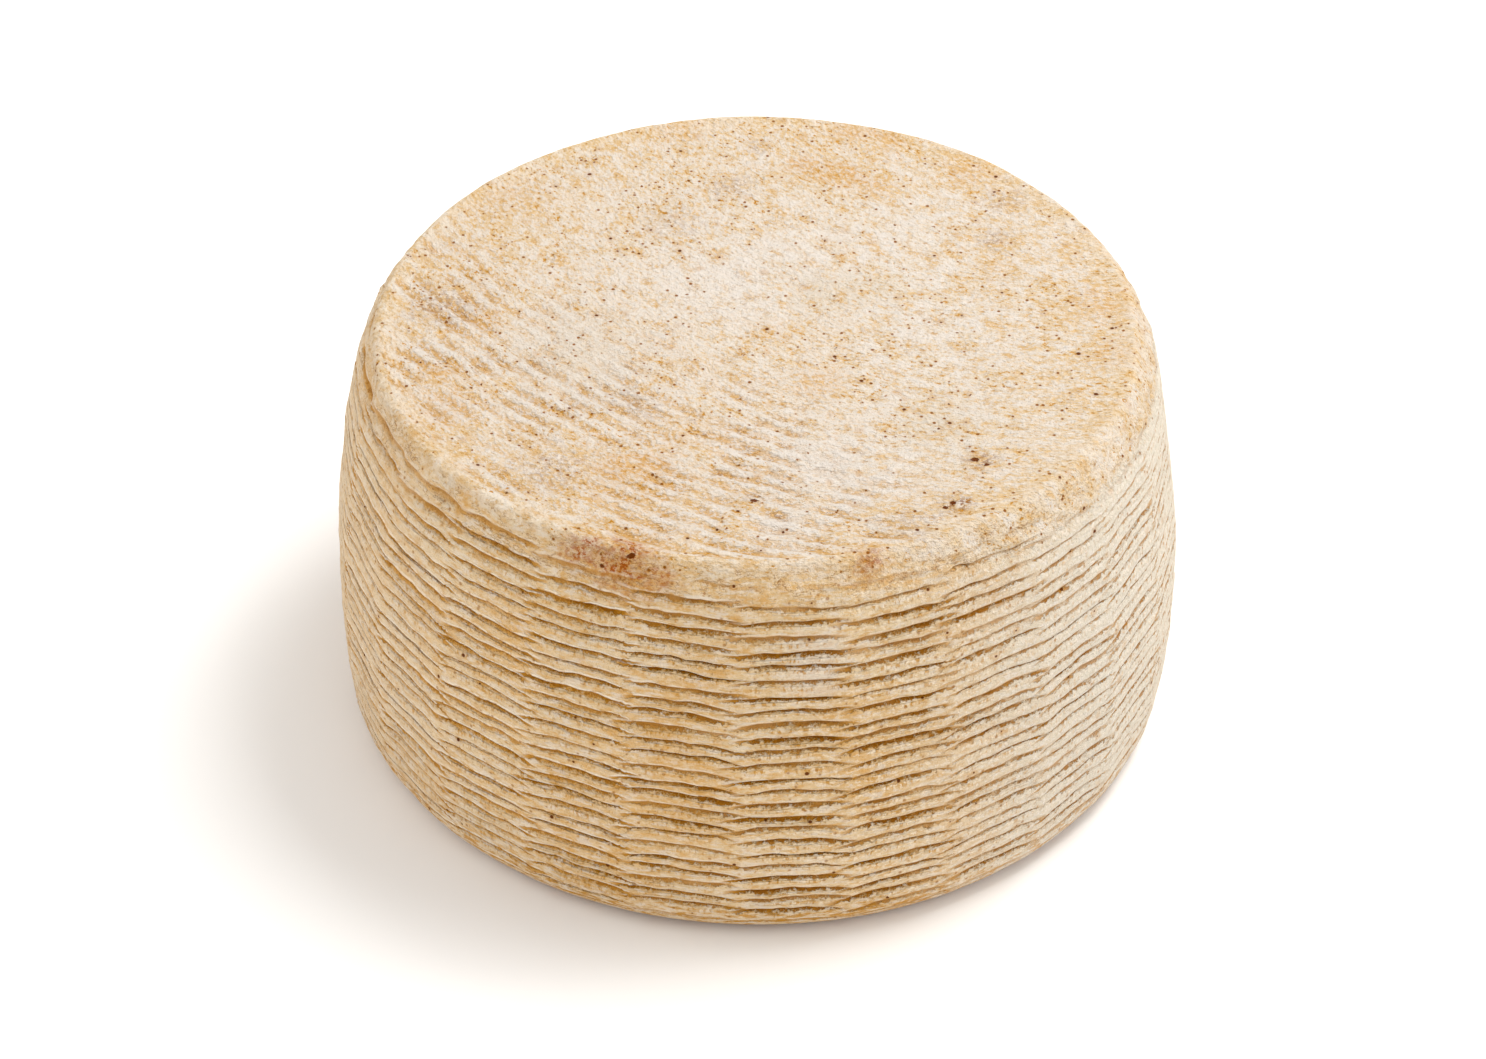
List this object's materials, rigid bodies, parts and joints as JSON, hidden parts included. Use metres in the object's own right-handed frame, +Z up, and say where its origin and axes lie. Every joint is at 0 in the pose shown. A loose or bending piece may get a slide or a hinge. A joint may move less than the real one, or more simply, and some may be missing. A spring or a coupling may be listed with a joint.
{
  "type": "cheese wheel",
  "caption": "Whole round sheep's-milk cheese with a flat top, rounded edges and a woven basket print of level ridges round its bulging side.",
  "frame": {"origin": "centre of the flat base", "axes": "+Z up along the wheel's axis, -Y towards the viewer, +X to the viewer's right"},
  "size_m": [0.1793, 0.1786, 0.0905],
  "materials": {
    "rind": "dry, matt, pored natural rind, cream to straw, browner in the grooves"
  },
  "bodies": {
    "root": {"cheese_wheel": "rind"}
  },
  "joints": []
}
